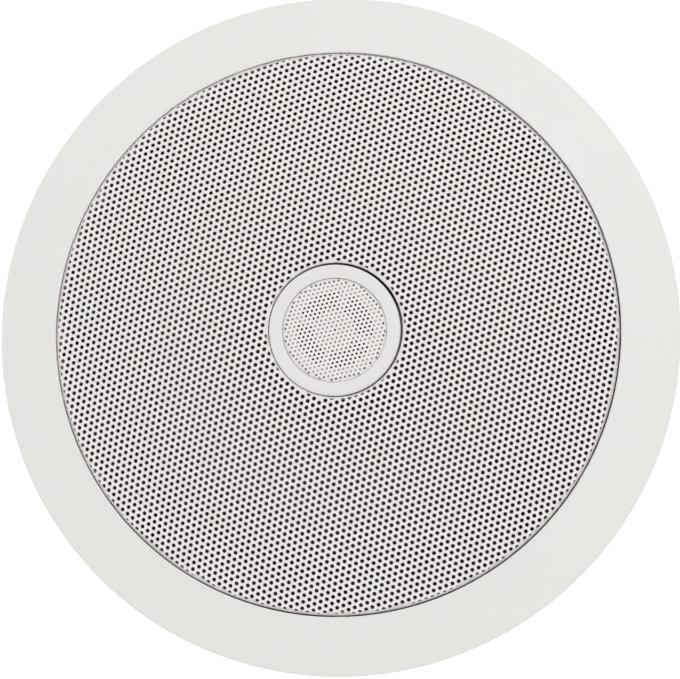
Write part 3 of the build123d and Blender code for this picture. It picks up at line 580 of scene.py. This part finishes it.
def perforatedBlank(sheet):  # the whole flat blank, with its holes and plain rims
    outer, skirtLevel = rollEnd(sheet, sheet["rim"], sheet["roll"], 1)
    inner = lipLevel = 0
    if sheet.get("hole"):
        inner, lipLevel = rollEnd(sheet, sheet["hole"], sheet["lipRoll"], -1)
    bm = punchedBlank(sheet, inner + sheet["margin"] if inner else -1, outer - sheet["margin"])
    rims = [v for v in bm.verts if v.is_boundary]
    outerRim = [v for v in rims if v.co.length > (inner + outer) / 2]
    innerRim = [v for v in rims if v.co.length < (inner + outer) / 2]
    cells = bm.faces[:]
    firstRing = sheet["pitch"] / 8  # any small inset will do, the next lines set the hole's size
    bmesh.ops.inset_individual(bm, faces=cells, thickness=firstRing, use_even_offset=True)
    for cell in cells:
        middle = cell.calc_center_median()
        for v in cell.verts:
            v.co = middle + (v.co - middle).normalized() * sheet["holeAcross"] / 2
    bmesh.ops.delete(bm, geom=cells, context="FACES_ONLY")
    turns = [(outerRim, outer, skirtLevel, sheet["skirt"])]
    if inner:
        turns.append((innerRim, inner, lipLevel, sheet["lip"]))
    for rim, along, level, end in turns:
        for v in rim:
            v.co = v.co.normalized() * along
        chosen = set(rim)
        edges = {e for v in rim for e in v.link_edges
                 if e.is_boundary and chosen.issuperset(e.verts)}
        grown = bmesh.ops.extrude_edge_only(bm, edges=list(edges))["geom"]
        side = 1 if along == outer else -1
        for v in (g for g in grown if isinstance(g, bmesh.types.BMVert)):
            v.co = v.co.normalized() * (along + side * (end - level))
    return bm


def pressSheet(bm, sheet):  # gives the blank its thickness and presses it to the dome
    made = bmesh.ops.extrude_face_region(bm, geom=bm.faces[:], use_keep_orig=True)["geom"]
    backs = {g for g in made if isinstance(g, bmesh.types.BMVert)}
    for v in bm.verts:
        depth = sheet["thickness"] if v in backs else 0
        radius, level = sheetPoint(sheet, v.co.length, depth)
        v.co = v.co.normalized() * radius
        v.co.z = level
    bmesh.ops.recalc_face_normals(bm, faces=bm.faces[:])
    if bm.calc_volume(signed=True) < 0:
        bmesh.ops.reverse_faces(bm, faces=bm.faces[:])


# Front grille: 1.25 mm holes at 2 mm pitch in a domed sheet with rolled edges.
# It fits loosely and sits to one side, and its centre hole is punched a little off centre.
grilleSheet = {
    "pitch": 2.0,
    "holeAcross": 1.25,
    "margin": 0.72,
    "rowAngle": 40.0,
    "drawn": (0.992, 0.9987, 1),
    "firstHole": (0.895, -0.545),
    "thickness": 0.5,
    "apex": -16.5,
    "rise": 8.5,
    "rim": 84.2,
    "roll": 1.5,
    "skirt": -4.0,
    "hole": 20.05,
    "lipRoll": 0.7,
    "lipDepth": 2.6,
    "sectors": 3,
    "aside": Vector((-0.17, -0.17, 0)),
    "holeAside": Vector((0.4, -0.02, 0)),
}
grilleSheet["sphere"] = domeSphere(grilleSheet)
grilleSheet["lip"] = domeLevel(grilleSheet, grilleSheet["hole"]) + grilleSheet["lipDepth"]
whole = perforatedBlank(grilleSheet)
width = fullTurn / grilleSheet["sectors"]
for sector in range(grilleSheet["sectors"]):
    bm = whole.copy()
    others = []
    for face in bm.faces:
        middle = face.calc_center_median()
        if int(math.atan2(middle.y, middle.x) % fullTurn / width) != sector:
            others.append(face)
    bmesh.ops.delete(bm, geom=others, context="FACES")
    pressSheet(bm, grilleSheet)
    for v in bm.verts:  # the hole's own shift is gone at twice its radius
        fade = min(1, max(0, 2 - v.co.xy.length / grilleSheet["hole"]))
        v.co += grilleSheet["aside"] + fade * grilleSheet["holeAside"]
    piece = makePiece(bm, f"grille_sheet_{sector + 1}", whiteSteel)
    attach(piece, "grille")
    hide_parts("front_grille")
    print(piece.name, len(piece.data.polygons), "faces")
whole.free()

# Tweeter mesh: a small cap of finer perforation.
tweeterSheet = {
    "pitch": 1.367,
    "holeAcross": 0.72,
    "margin": 0.82,
    "rowAngle": 47.85,
    "drawn": (1, 1, 1),
    "firstHole": (0.15, -0.02),
    "thickness": 0.35,
    "apex": -16.1226,
    "rise": 0.25,
    "rim": 15.45,
    "roll": 0.6,
    "skirt": -14.53,
}
tweeterSheet["sphere"] = domeSphere(tweeterSheet)
bm = perforatedBlank(tweeterSheet)
pressSheet(bm, tweeterSheet)
piece = makePiece(bm, "tweeter_cap", meshSteel)
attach(piece, "frame")
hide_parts("tweeter_mesh")
print("tweeter cap,", len(piece.data.polygons), "faces")


def runTo(bm, vert, radius, level):  # next straight run of a turned section
    grown = bmesh.ops.extrude_vert_indiv(bm, verts=[vert])["verts"][0]
    grown.co = (radius, 0, level)
    return grown


def bowTo(bm, vert, radius, rise, steps):  # next arc of a turned section, to the same level
    start = vert.co.copy()
    chord = start.x - radius
    bend = (chord ** 2 / 4 + rise ** 2) / (2 * abs(rise))
    side = math.copysign(1, rise)
    centre = Vector(((start.x + radius) / 2, 0, start.z + rise - side * bend))
    angle = 2 * math.asin(min(1, chord / 2 / bend))
    made = bmesh.ops.spin(bm, geom=[vert], cent=centre, axis=(0, 1, 0), angle=-side * angle,
                          steps=steps)
    return [g for g in made["geom_last"] if isinstance(g, bmesh.types.BMVert)][0]


def turnSection(bm, steps, thickness):
    bmesh.ops.spin(bm, geom=bm.verts[:] + bm.edges[:], cent=(0, 0, 0), axis=(0, 0, 1),
                   angle=fullTurn, steps=steps, use_merge=True)
    bmesh.ops.remove_doubles(bm, verts=bm.verts, dist=weldGap)
    bmesh.ops.recalc_face_normals(bm, faces=bm.faces[:])
    if sum(f.normal.z * f.calc_area() for f in bm.faces) > 0:
        bmesh.ops.reverse_faces(bm, faces=bm.faces[:])
    bmesh.ops.solidify(bm, geom=bm.faces[:], thickness=thickness)


def followCone(piece, held, free):  # bakes the piece's placement and works out each vertex's share between the held and the free radius; the share is not kept, so nothing follows the cone
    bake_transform(piece)
    for v in piece.data.vertices:
        t = (held - math.hypot(v.co.x, v.co.y) / mm) / (held - free)
        t = min(1, max(0, t))


# Rubber surround: a half roll between two flat lands.
surround = {"outer": 73.6, "rollOuter": 68.0, "rollInner": 58.0, "inner": 55.5, "level": 2.2,
            "thickness": 0.6, "bowSteps": 14, "turnSteps": 160}
halfRoll = (surround["rollOuter"] - surround["rollInner"]) / 2
bm = bmesh.new()
vert = bm.verts.new((surround["outer"], 0, surround["level"]))
vert = runTo(bm, vert, surround["rollOuter"], surround["level"])
vert = bowTo(bm, vert, surround["rollInner"], -halfRoll, surround["bowSteps"])
runTo(bm, vert, surround["inner"], surround["level"])
turnSection(bm, surround["turnSteps"], surround["thickness"])
piece = makePiece(bm, "surround_roll", rubber, softCrease)
followCone(piece, surround["rollOuter"], surround["rollInner"])
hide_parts("woofer_surround")

# Spider: a corrugated cloth disc from the basket's shelf to the former.
spider = {"outer": 40.9, "waveOuter": 37.6, "waveInner": 14.4, "inner": 12.8, "level": 29.3,
          "waves": 4, "height": 0.7, "thickness": 0.5, "bowSteps": 6, "turnSteps": 120}
bm = bmesh.new()
step = (spider["waveOuter"] - spider["waveInner"]) / (2 * spider["waves"])
vert = bm.verts.new((spider["outer"], 0, spider["level"]))
vert = runTo(bm, vert, spider["waveOuter"] - step / 2, spider["level"])
for i in range(2 * spider["waves"] - 1):
    reach = spider["waveOuter"] - step * (i + 1.5)
    rise = spider["height"] * (1 if i % 2 else -1)
    vert = bowTo(bm, vert, reach, rise, spider["bowSteps"])
runTo(bm, vert, spider["inner"], spider["level"])
turnSection(bm, spider["turnSteps"], spider["thickness"])
piece = makePiece(bm, "spider_disc", cloth, softCrease)
followCone(piece, spider["waveOuter"], spider["waveInner"])
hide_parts("woofer_spider")
print("surround and spider turned")

# Tinsel leads: limp braids from the cone to the tags.
leads = {"across": 0.9, "roundSteps": 3, "bendSteps": 10,
         "route": [(27, 4.0, 15.6), (33, 4.2, 18.6), (41, 4.5, 19.6), (48.5, 4.8, 22.0),
                   (53, 5.0, 26.5), (54.5, 5.0, 32.15)]}
curve = bpy.data.curves.new("tinsel_route", "CURVE")
curve.dimensions = "3D"
curve.bevel_depth = leads["across"] / 2
curve.bevel_resolution = leads["roundSteps"]
curve.resolution_u = leads["bendSteps"]
curve.use_fill_caps = True
for side in (-1, 1):
    spline = curve.splines.new("NURBS")
    spline.points.add(len(leads["route"]) - 1)
    for point, (away, across, up) in zip(spline.points, leads["route"]):
        point.co = (-away, -side * across, up, 1)
    spline.order_u = 3
    spline.use_endpoint_u = True
guide = bpy.data.objects.new("tinsel_route", curve)
bpy.context.collection.objects.link(guide)
bpy.context.view_layer.update()
bm = bmesh.new()
bm.from_mesh(guide.evaluated_get(bpy.context.evaluated_depsgraph_get()).to_mesh())
bpy.data.objects.remove(guide)
bmesh.ops.remove_doubles(bm, verts=bm.verts, dist=weldGap)
piece = makePiece(bm, "tinsel_braids", tinsel, softCrease)
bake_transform(piece)
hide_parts("tinsel_leads")
print("tinsel leads laid")

# Floor of the room, far below, in metres.
floor = {"level": -2.2, "half": 9.0, "squares": 8}
bm = bmesh.new()
bmesh.ops.create_grid(bm, x_segments=floor["squares"], y_segments=floor["squares"],
                      size=floor["half"])
bmesh.ops.translate(bm, vec=(0, 0, floor["level"]), verts=bm.verts)
mesh = bpy.data.meshes.new("room_floor")
bm.to_mesh(mesh)
bm.free()
paint, tree, shader, place = startMaterial("pale floor paint")
drift = addNode(tree, "TexNoise", {"Vector": place, "Scale": perMm(400), "Detail": 2.0})
tone = addNode(tree, "Mix", {"Factor": drift.outputs["Fac"], "A": linearColour("#E6E5E3"),
                             "B": linearColour("#EBEAE8")}, data_type="RGBA")
wire(tree, shader, {"Base Color": tone.outputs["Result"], "Roughness": 0.7})
mesh.materials.append(paint)
roomFloor = bpy.data.objects.new("room_floor", mesh)
bpy.context.collection.objects.link(roomFloor)

# White surroundings that dim to the horizon, a soft key from the upper right and a fill for the
# back. Places and sizes are in metres.
studio = {"world": 1.1, "horizon": 0.68, "bright": 0.45,
          "key": 3.0, "keyPlace": (0.75, -0.9, -1.25), "keySize": 1.2,
          "fill": 3.0, "fillPlace": (-0.6, -0.5, 1.6), "fillSize": 1.5}
world = bpy.data.worlds.new("white surroundings")
world.use_nodes = True
tree = world.node_tree
heading = addNode(tree, "SeparateXYZ", {"Vector": addNode(tree, "TexCoord").outputs["Generated"]})
rise = addNode(tree, "Math", {0: heading.outputs["Z"]}, operation="ABSOLUTE")
glow = addNode(tree, "MapRange", {"Value": rise.outputs["Value"], "From Max": studio["bright"],
                                  "To Min": studio["world"] * studio["horizon"],
                                  "To Max": studio["world"]}, interpolation_type="SMOOTHSTEP")
wire(tree, tree.nodes["Background"], {"Color": (1, 1, 1, 1), "Strength": glow.outputs["Result"]})
bpy.context.scene.world = world
for name in ("key", "fill"):
    lamp = bpy.data.lights.new(name, "AREA")
    lamp.shape = "DISK"
    lamp.size = studio[name + "Size"]
    lamp.energy = studio[name]
    light = bpy.data.objects.new(name, lamp)
    light.location = studio[name + "Place"]
    light.rotation_mode = "QUATERNION"
    light.rotation_quaternion = (-light.location).to_track_quat("-Z", "Y")
    bpy.context.collection.objects.link(light)
bpy.context.scene.view_settings.view_transform = "Standard"

# Camera below and a little to the lower right, as in the photograph. Clipping is in metres.
view = {"lens": 241.0, "sensor": 36.0, "near": 0.05, "far": 50.0, "distance": 1355.0,
        "aim": (0, 0, -8.0), "offset": (0.935, -1.983), "right": (0.996, 0, 0.0894),
        "up": (0.00934, -0.9945, -0.1041), "back": (0.0889, 0.1045, -0.9905)}
lens = bpy.data.cameras.new("camera")
lens.lens = view["lens"]
lens.sensor_width = view["sensor"]
lens.clip_start = view["near"]
lens.clip_end = view["far"]
camera = bpy.data.objects.new("camera", lens)
right, up, back = (Vector(view[key]).normalized() for key in ("right", "up", "back"))
spot = Vector(view["aim"]) + right * view["offset"][0] + up * view["offset"][1]
spot += back * view["distance"]
turned = Matrix((right, up, back)).transposed().to_4x4()
camera.matrix_world = Matrix.Translation(spot * mm) @ turned
bpy.context.collection.objects.link(camera)
bpy.context.scene.camera = camera
print("studio set")
